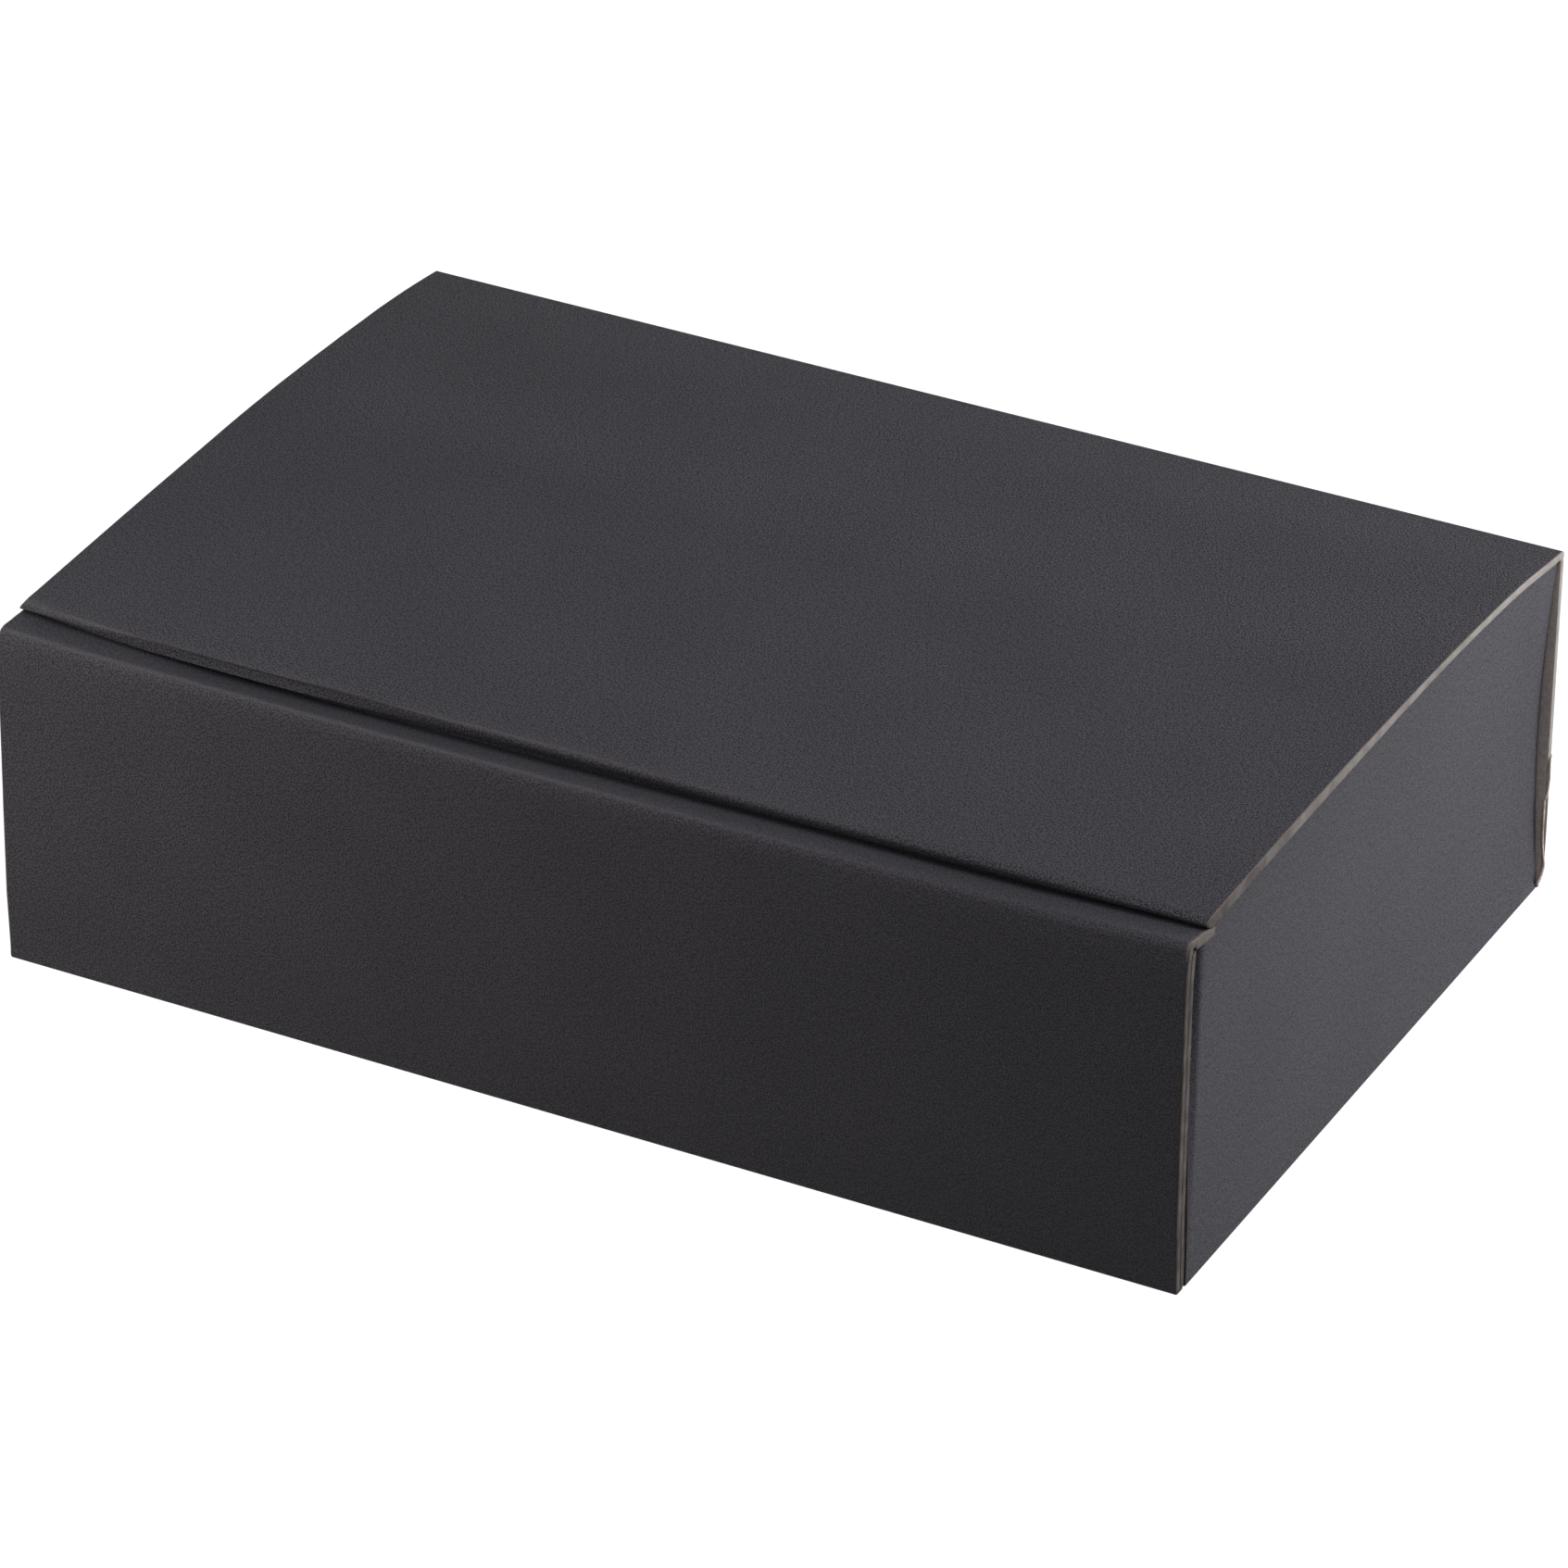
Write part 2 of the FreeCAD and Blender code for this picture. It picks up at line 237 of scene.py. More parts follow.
def paper_grain_group():
    """The pebbled face of the paper: its relief, its specks, its mottle and its cloudy unevenness. Place is in
    millimetres."""
    group, given, result = new_group(
        "paper_grain",
        [("Place", "Vector", (0, 0, 0)), ("Pitch", "Float", 0.5), ("Fibre", "Float", 0.3)],
        [("Height", "Float"), ("Speck", "Float"), ("Mottle", "Float"), ("Cloud", "Float")])
    pebble_scale = math_node(group, "DIVIDE", 1.0, given["Pitch"])
    pebble = noise(group, given["Place"], pebble_scale, 1.5, 0.55)
    fibre = noise(group, scaled(group, given["Place"], 0.5, 1.3, 1), pebble_scale, 2.0, 0.6)
    speck = noise(group, given["Place"], math_node(group, "MULTIPLY", pebble_scale, 1.3), 1.0, 0.5)
    fibre_part = math_node(group, "MULTIPLY", fibre, given["Fibre"])
    relief = math_node(group, "ADD", pebble, fibre_part)
    mottle = noise(group, given["Place"], math_node(group, "MULTIPLY", pebble_scale, 0.35), 3.0, 0.6)
    cloud = noise(group, given["Place"], 0.035, 2.0, 0.5)
    group.links.new(relief, result["Height"])
    group.links.new(speck, result["Speck"])
    group.links.new(mottle, result["Mottle"])
    group.links.new(cloud, result["Cloud"])
    return group


def wear_and_fold_highlight_group():
    """Where the paper is rubbed through, and where a fold is paler from stretched paper and a painted highlight.
    Rubbed is the distance from the cut edge in widths of the rubbed band, and the fold input is how far a fold has
    stretched the paper, together with the painted highlight on it."""
    group, given, result = new_group(
        "wear_and_fold_highlight", [("Place", "Vector", (0, 0, 0)), ("Rubbed", "Float", 0.0), ("Stretched_and_highlit", "Float", 0.0)],
        [("Rubbed", "Float"), ("Stretched_and_highlit", "Float")])
    patches = noise(group, given["Place"], 0.9, 3.0, 0.65)
    waver = math_node(group, "MULTIPLY", math_node(group, "SUBTRACT", patches, 0.5), 0.9)
    reach = math_node(group, "ADD", given["Rubbed"], waver)
    group.links.new(ramp(group, reach, 1.2, -0.1), result["Rubbed"])
    fibres = noise(group, scaled(group, given["Place"], 0.5, 2.5, 1), 1.1, 3.0, 0.7)
    group.links.new(math_node(group, "MULTIPLY", given["Stretched_and_highlit"], ramp(group, fibres, 0.25, 0.7, 0.35, 1.0)),
                    result["Stretched_and_highlit"])
    return group


paper_grain = paper_grain_group()
wear_and_fold_highlight = wear_and_fold_highlight_group()


def new_material(name, specular=0.5):
    material = bpy.data.materials.new(name)
    material.use_nodes = True
    tree = material.node_tree
    tree.nodes.clear()
    output = tree.nodes.new("ShaderNodeOutputMaterial")
    shader = tree.nodes.new("ShaderNodeBsdfPrincipled")
    shader.inputs["Specular IOR Level"].default_value = specular
    tree.links.new(shader.outputs[0], output.inputs[0])
    return material, tree, shader


def sheet_place(tree):
    """Place on the flat sheet, in millimetres."""
    flat = add_node(tree, "ShaderNodeUVMap", uv_map="sheet").outputs[0]
    return scaled(tree, flat, 1000, 1000, 0)


def attribute(tree, title):
    return add_node(tree, "ShaderNodeAttribute", attribute_name=title).outputs["Fac"]


def paper_face(name, colour, rubbed, stretched_and_highlit, pitch, relief, cloud_share, mottle_share, speck_share):
    """Paper on the face of the board, with its grain, its unevenness, its rubbed hems, its stretched folds with a
    painted highlight along them, and specks with painted sheen where the grain share is high.
    """
    material, tree, shader = new_material(name, 0.1)
    place = sheet_place(tree)
    grain = add_node(tree, "ShaderNodeGroup", node_tree=paper_grain)
    tree.links.new(place, grain.inputs["Place"])
    grain.inputs["Pitch"].default_value = pitch
    light = tuple(c * (1 + cloud_share) for c in colour[:3]) + (1,)
    dark = tuple(c * (1 - cloud_share) for c in colour[:3]) + (1,)
    tone = mix_colour(tree, ramp(tree, grain.outputs["Cloud"], 0.3, 0.7), dark, light)
    fleck = ramp(tree, grain.outputs["Mottle"], 0.3, 0.7, 1 - mottle_share, 1 + mottle_share)
    speck = ramp(tree, grain.outputs["Speck"], 0.38, 0.62, -speck_share, speck_share)
    # Painted sheen: the specks' contrast follows the piece's grain attribute, strongest at the back of the lid.
    speck = math_node(tree, "MULTIPLY", speck, attribute(tree, "grain_and_sheen"))
    fleck = math_node(tree, "MAXIMUM", math_node(tree, "ADD", fleck, speck), 0.3)
    fleck = math_node(tree, "MINIMUM", fleck, 2.0)
    tone = add_node(tree, "ShaderNodeVectorMath", {0: tone, "Scale": fleck}, operation="SCALE").outputs[0]
    wear_and_highlight = add_node(tree, "ShaderNodeGroup", node_tree=wear_and_fold_highlight)
    tree.links.new(place, wear_and_highlight.inputs["Place"])
    tree.links.new(attribute(tree, "rubbed"), wear_and_highlight.inputs["Rubbed"])
    tree.links.new(attribute(tree, "stretched_and_highlit"), wear_and_highlight.inputs["Stretched_and_highlit"])
    # Painted highlight: folds are mixed towards the paler fold colour, which stands for stretched paper and for the
    # light along the fold.
    tone = mix_colour(tree, wear_and_highlight.outputs["Stretched_and_highlit"], tone, stretched_and_highlit)
    tree.links.new(mix_colour(tree, wear_and_highlight.outputs["Rubbed"], tone, rubbed), shader.inputs["Base Color"])
    tree.links.new(ramp(tree, grain.outputs["Mottle"], 0.2, 0.8, 0.72, 0.56), shader.inputs["Roughness"])
    bump = add_node(tree, "ShaderNodeBump", {"Height": grain.outputs["Height"], "Distance": relief * mm,
                    "Strength": attribute(tree, "grain_and_sheen")})
    tree.links.new(bump.outputs[0], shader.inputs["Normal"])
    return material


def cut_board(name, clean, soil_and_shade, liner):
    """The cut edge of the board: the core, clean or darkened by dirt and by painted shade, between the dark
    hairlines of the two papers.
    """
    material, tree, shader = new_material(name, 0.1)
    place = sheet_place(tree)
    depth = add_node(tree, "ShaderNodeSeparateXYZ", {0: place}).outputs[1]
    streaks = noise(tree, scaled(tree, place, 0.5, 5.0, 0), 1.0, 4.0, 0.65)
    blots = noise(tree, place, 0.16, 3.0, 0.6)
    # The cut edge is darkened by real dirt on some pieces and by painted shade on others.
    soil_and_shade_share = math_node(tree, "ADD", attribute(tree, "soil_and_shade"), ramp(tree, blots, 0.3, 0.7, -0.2, 0.2), clamp=True)
    body = mix_colour(tree, soil_and_shade_share, clean, soil_and_shade)
    shade = ramp(tree, streaks, 0.3, 0.7, 0.85, 1.1)
    body = add_node(tree, "ShaderNodeVectorMath", {0: body, "Scale": shade}, operation="SCALE").outputs[0]
    waver = math_node(tree, "MULTIPLY", math_node(tree, "SUBTRACT", streaks, 0.5), 0.18)
    at = math_node(tree, "ADD", depth, waver)
    body = mix_colour(tree, ramp(tree, at, 0.2, 0.02, 0, 0.35), body, liner)
    body = mix_colour(tree, ramp(tree, at, 1.36, 1.48, 0, 0.35), body, liner)
    tree.links.new(body, shader.inputs["Base Color"])
    shader.inputs["Roughness"].default_value = 0.85
    bump = add_node(tree, "ShaderNodeBump", {"Height": streaks, "Strength": 0.8, "Distance": 0.08 * mm})
    tree.links.new(bump.outputs[0], shader.inputs["Normal"])
    return material


black_paper = paper_face("black_paper", (0.0485, 0.047, 0.0535, 1), (0.22, 0.19, 0.165, 1), (0.115, 0.108, 0.11, 1),
                         0.4, 0.2, 0.05, 0.08, 1.35)
kraft_paper = paper_face("kraft_paper", (0.5, 0.445, 0.4, 1), (0.48, 0.42, 0.37, 1), (0.48, 0.42, 0.37, 1),
                         0.4, 0.1, 0.06, 0.1, 0.3)
# The second colour is the cut edge's dark tone, used for real dirt and for painted shade.
pale_edge = cut_board("pale_edge", (0.32, 0.298, 0.27, 1), (0.082, 0.072, 0.063, 1), (0.11, 0.09, 0.078, 1))
board_finish = [black_paper, kraft_paper, pale_edge]

wall_front = -74.0        # outer face of the front wall
wall_rear = 76.75         # where the end walls stop behind
back_inner = 76.9         # inner face of the back wall
wall_top = 67.2           # upper edge of the end walls, before its bow
foot_front = 115.1        # X of the right end wall's outer face, at the foot in front
foot_rear = 114.3         # at the foot behind
head_front = 113.5        # at the upper edge in front
head_rear = 114.5         # at the upper edge behind
rear_hollow = 1.45        # how far the wall is bowed in at the back


def wall_x(y, z):
    """X of the right end wall's outer face. The walls lean in at the front, splay out there at the foot and are
    bowed in at the back."""
    run = (y - wall_front) / (wall_rear - wall_front)
    rise = z / wall_top
    foot = foot_front + (foot_rear - foot_front) * run
    top = head_front + (head_rear - head_front) * run
    return foot + (top - foot) * rise - rear_hollow * max(0.0, run) ** 2 * math.sin(math.pi * min(rise, 1.0))


def floor_x(a, y, z):
    """X on the floor at the share a, from -1 to 1, of the width between the end walls."""
    return a * (wall_x(y, z) - board)


bottom_panel = board_piece(
    "floor_panel", [k / 12 - 1 for k in range(25)],
    grid_lines(wall_front + board, back_inner, 8),
    lambda a, c: (floor_x(a, c, 0), c, 0.0), lambda a, c: (floor_x(a, c, board), c, board), (),
    board_finish, start=(0, 400))
place_on(bottom_panel, "tray", "bottom_panel")


# ---------------------------------------------------------------- back wall
# A full-width panel folded up from the floor, with its two ends die-cut. At the right end the kraft paper has come
# away from the core near the floor, and the folded corner is crushed.

fold_round = 0.8          # outer radius of a creased corner
back_y = 78.4             # outer face of the back wall
half_length = 115.0
back_height = 66.8        # of the back wall, up to its crease


def rounded(distance, radius=fold_round):
    """How far a creased corner falls back at a distance from its edge."""
    reach = min(max(0.0, radius - distance), radius)
    return radius - math.sqrt(radius ** 2 - reach ** 2)


def hinge_height(x):
    """Height of the lid's rear corner along the box."""
    return 69.0 + 0.0013 * x


hinge_leg = 2.2           # how far the hinge crease reaches into the panels beside it
hinge_width = 4.1         # of the crease along the sheet
crush_height = 3.5        # of the crushed corner at the right end
crush_inset = 0.8
torn_height = 27.0        # up to here the kraft paper has come away at the right end


def back_end(side, z):
    """X of the back wall's cut end."""
    crush = crush_inset * max(0.0, 1 - z / crush_height) ** 1.5 if side > 0 else 0
    return side * half_length - crush


def back_x(a, z):
    return a if a < 0 else a * back_end(1, z) / half_length


def back_rise(a, c):
    return c * (hinge_height(a) - hinge_leg)


def back_soil(a, c, depth):
    """The cut end is clean above the tear and shows the brown fluting below it."""
    return min(max((torn_height + 0.5 - back_rise(a, c)), 0.0), 1.0) if a > 0 else 0.0


back_wall = board_piece(
    "back_wall_panel", grid_lines(-half_length, half_length, 8),
    [0, 0.004, 0.009, 0.015, 0.03, 0.05, 0.075] + [z / back_height for z in (
        7, 11, 15, 19, 23, 26, 26.5, 27.5, 28, 32, 38, 44, 50, 56, 62)] + [1],
    lambda a, c: (back_x(a, back_rise(a, c)), back_y - rounded(back_rise(a, c)), back_rise(a, c)),
    lambda a, c: (back_x(a, back_rise(a, c)), back_inner, back_rise(a, c)),
    ("left", "right"), board_finish, start=(0, 600), edge_soil_and_shade=back_soil)
place_on(back_wall, "tray", "back_wall")


def torn_paper():
    """Fibrous cream paper, torn and curled."""
    material, tree, shader = new_material("torn_paper", 0.1)
    place = scaled(tree, add_node(tree, "ShaderNodeTexCoord").outputs["Object"], 1000, 1000, 1000)
    fibres = noise(tree, scaled(tree, place, 1.5, 1.5, 0.6), 2.0, 4.0, 0.7)
    blots = noise(tree, place, 0.5, 2.0, 0.5)
    pale = mix_colour(tree, ramp(tree, blots, 0.35, 0.65), (0.62, 0.55, 0.47, 1), (0.55, 0.44, 0.38, 1))
    tree.links.new(mix_colour(tree, ramp(tree, fibres, 0.4, 0.75), pale, (0.3, 0.23, 0.18, 1)),
                   shader.inputs["Base Color"])
    shader.inputs["Roughness"].default_value = 0.9
    bump = add_node(tree, "ShaderNodeBump", {"Height": fibres, "Strength": 0.7, "Distance": 0.15 * mm})
    tree.links.new(bump.outputs[0], shader.inputs["Normal"])
    return material


def peeled_edge():
    """The torn edge of the kraft paper, a thin curled roll down the cut end of the back wall to the crushed
    corner. The path gives its y, its z and its half width."""
    path = [(78.2, 27.4, 0.12), (77.9, 26.9, 0.2), (77.64, 26.4, 0.22), (77.75, 25.4, 0.2), (77.7, 24.6, 0.24),
            (77.9, 22.7, 0.3), (77.6, 21.4, 0.26), (77.4, 20, 0.22), (76.95, 19.2, 0.22), (76.6, 18.6, 0.2),
            (76.5, 17.4, 0.22), (76.5, 15, 0.24), (76.6, 12.5, 0.22), (76.8, 9.7, 0.24), (77.1, 7, 0.24),
            (77.75, 4.8, 0.26), (77.5, 3.9, 0.5), (77.0, 2.8, 0.65), (76.7, 1.8, 0.7), (76.9, 0.9, 0.62),
            (77.0, 0.3, 0.4)]
    points, faces = [], []
    round_count = 8
    for k, (y, z, half) in enumerate(path):
        x = back_end(1, z) + (0.06 if y > 76.9 else -0.1)
        for n in range(round_count):
            turn = 2 * math.pi * n / round_count
            wide = half * (1 + 0.25 * math.sin(3.1 * k + 2.3 * n))
            deep = min(half, 0.28) * (1 + 0.2 * math.sin(1.7 * k + 4.1 * n))
            points.append(((x + deep * math.sin(turn)) * mm, (y + wide * math.cos(turn)) * mm, z * mm))
    for k in range(len(path) - 1):
        for n in range(round_count):
            m = (n + 1) % round_count
            low, high = k * round_count, (k + 1) * round_count
            faces.append((low + n, low + m, high + m, high + n))
    last = (len(path) - 1) * round_count
    faces += [tuple(range(round_count)), tuple(range(last + round_count - 1, last - 1, -1))]
    mesh = bpy.data.meshes.new("peeled_kraft_edge")
    mesh.from_pydata(points, [], faces)
    mesh.materials.append(torn_paper())
    piece = new_piece("peeled_kraft_edge", mesh, math.radians(181))
    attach(piece, "tray")


peeled_edge()


# ---------------------------------------------------------------- end walls
# Panels folded up from the floor's two sides. They stand a little in from the lid's ends, and their upper front
# corners are stepped down to let the lid's strip pass.

notch_end = -67.6         # where the step in the upper edge is
notch_top = 65.4          # upper edge in front of the step
wall_start = -73.0        # the cut front edge, a little behind the face of the front wall
curl_depth = 1.7          # how far the wall is turned in behind the flap, at the top
curl_run = 2.6            # over this length
toe_reach = 1.0           # how far the front edge stands forward at the foot
toe_height = 30.0
toe_run = 3.3


def smooth_curve(stations, values):
    """A smooth line through listed values at rising stations."""
    slopes = np.gradient(np.array(values, float), np.array(stations, float))

    def at(s):
        k = int(np.clip(np.searchsorted(stations, s) - 1, 0, len(stations) - 2))
        run = stations[k + 1] - stations[k]
        t = min(max((s - stations[k]) / run, 0.0), 1.0)
        a, b = values[k], values[k + 1]
        p, q = slopes[k] * run, slopes[k + 1] * run
        return a + p * t + (3 * (b - a) - 2 * p - q) * t * t + (2 * (a - b) + p + q) * t ** 3

    return at


# Heights of the end walls' bowed upper edges, by place from front to back
crown_right = smooth_curve([-67.6, -60, -40, -17, 0, 10, 20, 30, 41, 50, 60, 70, 76.75],
                           [67.2, 67.6, 68.5, 69.35, 69.95, 70.2, 70.4, 70.35, 70.15, 69.85, 69.25, 68.2, 67.4])
crown_left = smooth_curve([-67.6, -60, -40, -20, 0, 20, 40, 60, 70, 76.75],
                          [67.0, 67.2, 68.0, 68.7, 69.3, 69.55, 69.2, 68.5, 67.7, 67.0])


def end_wall(name, side, node):
    """One end wall: along it from front to back, across it from the foot to the upper edge. It turns in behind
    the flap, deepest at the top."""
    crown = crown_right if side > 0 else crown_left

    def rise(a, c):
        return c / wall_top * (notch_top if a < notch_end else crown(a))

    def curl(a, z):
        share = max(0.0, z / wall_top)
        t = min(max((wall_start + 0.8 + 3.0 * share - a) / curl_run, 0.0), 1.0)
        return curl_depth * share ** 1.2 * t * t * (3 - 2 * t)

    def toe(a, z):
        """The cut front edge reaches out to the corner at the foot."""
        return toe_reach * max(0.0, 1 - z / toe_height) * max(0.0, 1 - (a - wall_start) / toe_run)

    def outer(a, c):
        z = rise(a, c)
        x = wall_x(a, z) - rounded(z, 0.3) - rounded(wall_rear - a, 0.4) - curl(a, z)
        return side * x, a - toe(a, z), z

    def inner(a, c):
        z = rise(a, c)
        return side * (wall_x(a, z) - board - curl(a, z)), a - toe(a, z), z

    along = [wall_start + 0.3 * k for k in range(11)] + [wall_start + 4] + [notch_end - 0.001, notch_end + 0.001]
    along += [notch_end + 0.6 + (wall_rear - 2 - notch_end) * k / 20 for k in range(20)]
    along += [wall_rear - 0.4, wall_rear - 0.2, wall_rear - 0.08, wall_rear]
    across = [0, 0.1, 0.27, 0.54, 2] + [7 + 59.7 * k / 10 for k in range(11)] + [wall_top]
    # The wall's cut edges, at its front behind the flap and along its top under the lid, are painted dark: painted
    # shade.
    wall = board_piece(name, along, across, outer, inner, ("left", "far"), board_finish, start=(300 * side, 0),
                       edge_soil_and_shade=lambda a, c, depth: 0.95)
    place_on(wall, "tray", node)


end_wall("right_end_panel", 1, "right_end_wall")
end_wall("left_end_panel", -1, "left_end_wall")


# ---------------------------------------------------------------- front wall
# The front panel is rolled over at the top and glued down inside as a second ply, so its black face shows inside
# the box as well. Two steel discs lie between its plies.

front_top = 65.4          # top of the rolled edge
front_fold = front_top - board
inner_half = 109.2        # half length of the inner ply, which ends beside the front tabs


def front_wall():
    """The outer ply, the rolled top and the inner ply, as three panels of one strip."""
    along = [k / 20 - 1 for k in range(41)]
    plies = [("front_outer_panel", "front_wall_outer", grid_lines(0, front_fold, 7),
              lambda a, c: (floor_x(a, wall_front, c), wall_front + rounded(c), c),
              lambda a, c: (floor_x(a, wall_front, c), wall_front + board, c)),
             ("front_inner_panel", "front_wall_inner", grid_lines(board, front_fold, 7),
              lambda a, c: (a * inner_half, wall_front + 2 * board, c),
              lambda a, c: (a * inner_half, wall_front + board, c))]
    for name, node, across, outer, inner in plies:
        ply = board_piece(name, along, across, outer, inner, (), board_finish, start=(0, 500))
        place_on(ply, "tray", node)
    turns = [math.pi * k / 10 for k in range(11)]
    core = 0.1            # inner radius of the roll
    roll = board_piece(
        "front_rolled_edge", along, turns,
        lambda a, c: (a * inner_half, wall_front + board - board * math.cos(c), front_fold + board * math.sin(c)),
        lambda a, c: (a * inner_half, wall_front + board - core * math.cos(c), front_fold + core * math.sin(c)),
        (), board_finish, start=(0, 700))
    place_on(roll, "tray", "front_wall_top_fold")


front_wall()


# ---------------------------------------------------------------- corner tabs and their tape
# Each end of the front wall carries a tab that is folded back inside the end wall, and each end wall carries one
# that is folded in along the back wall. Clear double-sided tape holds all four.

tape = 0.15               # thickness of the tape
tab_length = 24.0
tab_taper = 5.0
tab_foot = 2.5            # the tabs start this far above the table
front_tab_top = 64.4
back_tab_top = 66.2


def tab_edge(run, top):
    """Lowest and highest points of a tab at the share run of its length, which narrows towards its free end."""
    return tab_foot + tab_taper * run, top - tab_taper * run


def tab_piece(name, node, outer, inner):
    along = [k / 8 for k in range(9)]
    across = [0, 0.02] + [0.1 + 0.8 * k / 8 for k in range(9)] + [0.98, 1]
    tab = board_piece(name, along, across, outer, inner, (), board_finish, start=(0, 900))
    place_on(tab, "tray", node)


def front_tab(name, side, node):
    def at(a, c, inward):
        y = wall_front + board + tab_length * a
        low, high = tab_edge(a, front_tab_top)
        z = low + (high - low) * c
        return side * (wall_x(y, z) - inward), y, z

    tab_piece(name, node, lambda a, c: at(a, c, board + tape), lambda a, c: at(a, c, 2 * board + tape))


def back_tab(name, side, node):
    def at(a, c, y):
        low, high = tab_edge(a, back_tab_top)
        z = low + (high - low) * c
        return side * (wall_x(y, z) - board - tab_length * a), y, z

    tab_piece(name, node, lambda a, c: at(a, c, wall_rear), lambda a, c: at(a, c, wall_rear - board))


for side, hand in ((1, "right"), (-1, "left")):
    front_tab(hand + "_front_glue_tab", side, hand + "_front_tab")
    back_tab(hand + "_back_glue_tab", side, hand + "_back_tab")


def clear_tape():
    """Cloudy clear film with fine creases."""
    material, tree, shader = new_material("clear_tape")
    place = add_node(tree, "ShaderNodeTexCoord").outputs["Object"]
    creases = noise(tree, scaled(tree, place, 400, 400, 90), 1.0, 4.0, 0.6)
    tree.links.new(mix_colour(tree, ramp(tree, creases, 0.35, 0.65), (0.62, 0.6, 0.54, 1), (0.78, 0.76, 0.7, 1)),
                   shader.inputs["Base Color"])
    tree.links.new(ramp(tree, creases, 0.3, 0.7, 0.25, 0.45), shader.inputs["Roughness"])
    bump = add_node(tree, "ShaderNodeBump", {"Height": creases, "Strength": 0.5, "Distance": 0.02 * mm})
    tree.links.new(bump.outputs[0], shader.inputs["Normal"])
    return material


def dress_node(node, material):
    """A CAD node that keeps its shape gets its finish."""
    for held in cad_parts[node].material_slots:
        held.material = material


tape_film = clear_tape()
for node in ("left_front_tape", "right_front_tape", "left_back_tape", "right_back_tape"):
    dress_node(node, tape_film)


# ---------------------------------------------------------------- steel discs and magnets
# Two thin zinc-plated discs in the front wall and two nickel-plated disc magnets in the flap hold the box shut.
# They are pressed from strip and lie glued in recesses between the plies.


def plated(name, colour, rough_low, rough_high):
    """Plated metal with fine turning marks and dull patches."""
    material, tree, shader = new_material(name)
    place = add_node(tree, "ShaderNodeTexCoord").outputs["Object"]
    marks = noise(tree, scaled(tree, place, 3000, 60, 3000), 1.0, 3.0, 0.6)
    dull = noise(tree, place, 300.0, 3.0, 0.6)
    tree.links.new(mix_colour(tree, ramp(tree, dull, 0.35, 0.7), colour, tuple(c * 0.8 for c in colour[:3]) + (1,)),
                   shader.inputs["Base Color"])
    tree.links.new(ramp(tree, dull, 0.3, 0.7, rough_low, rough_high), shader.inputs["Roughness"])
    shader.inputs["Metallic"].default_value = 1.0
    bump = add_node(tree, "ShaderNodeBump", {"Height": marks, "Strength": 0.3, "Distance": 0.005 * mm})
    tree.links.new(bump.outputs[0], shader.inputs["Normal"])
    return material


zinc = plated("zinc_plate", (0.5, 0.51, 0.53, 1), 0.35, 0.5)
nickel = plated("nickel_plate", (0.62, 0.6, 0.56, 1), 0.15, 0.3)
for hand in ("left", "right"):
    dress_node(hand + "_steel_disc", zinc)
    dress_node(hand + "_flap_magnet", nickel)


# ---------------------------------------------------------------- lid
# The large top panel. The folded board bows it up along its whole length, and its front edge is a soft fold that
# turns down over the groove. Its right-hand front corner stands a millimetre high.

lid_front = -71.0         # foremost line of the lid's front edge
web_front = -68.9         # front face of the crushed board behind the groove
lid_start = 76.2          # where the hinge crease ends and the lid panel begins

# Along the box: the front edge's height, and the rounded nose's size up and down and from front to back. The bow at
# each end goes by the share of the way forward.
lid_front_height = smooth_curve([-115, -100, -80, -44, -8, 28, 63, 97, 110, 115],
                                [68.65, 68.85, 69.0, 69.15, 69.2, 69.4, 69.8, 70.1, 70.05, 69.9])
bow_left = smooth_curve([0, 0.044, 0.108, 0.234, 0.325, 0.412, 0.495, 0.572, 0.724, 0.871, 1],
                        [0, 0.7, 1.5, 2.3, 2.65, 2.8, 2.7, 2.36, 1.65, 0.8, 0])
bow_right = smooth_curve([0, 0.05, 0.111, 0.248, 0.38, 0.51, 0.64, 0.766, 0.889, 1],
                         [0, 0.75, 1.75, 2.7, 2.9, 2.72, 2.35, 1.75, 0.9, 0])
nose_round = smooth_curve([-115, -111, -105, -77, -40, 0, 31, 66, 90, 100, 108, 115],
                          [0.7, 0.8, 1.1, 1.3, 1.25, 1.25, 1.3, 1.3, 1.3, 1.22, 1.1, 0.95])
nose_back = smooth_curve([-115, -111, -105, 0, 66, 100, 115], [3.6, 2.2, 1.4, 1.3, 1.4, 1.8, 1.9])


def lid_top(x, y):
    """Height of the lid's upper face, without the rounding of its front edge."""
    run = (back_y - y) / (back_y - lid_front)
    side = (x + half_length) / (2 * half_length)
    chord = hinge_height(x) + (lid_front_height(x) - hinge_height(x)) * run
    return chord + bow_left(run) * (1 - side) + bow_right(run) * side


lid_flat = 141.0          # from the panel's start to where the front edge's mesh lines crowd together
lid_run = lid_start - lid_front
nose_from, nose_to = 0.25, 0.8        # where the nose lies, as shares of the crowded lines
nose_turn = 0.8 * math.pi             # how far the paper turns round it
upper_fall, lower_fall = 0.6, 1.49    # heights of its upper and lower parts, in nose radii
lean_back, lean_most = 1.6, 4.5       # the lower part's lean back in nose depths, and its most in millimetres


def front_share(y):
    """1 at the front of the lid and 0 behind, for the wear of its right-hand cut edge."""
    t = min(max((32 - y) / 70, 0.0), 1.0)
    return t * t * (3 - 2 * t)


def swelling(x, y):
    """How much thicker the board is at the right-hand front corner, where its flutes have sprung open."""
    t = min(max((x - 104) / 11, 0.0), 1.0)
    return 0.75 * front_share(y) * t * t * (3 - 2 * t)


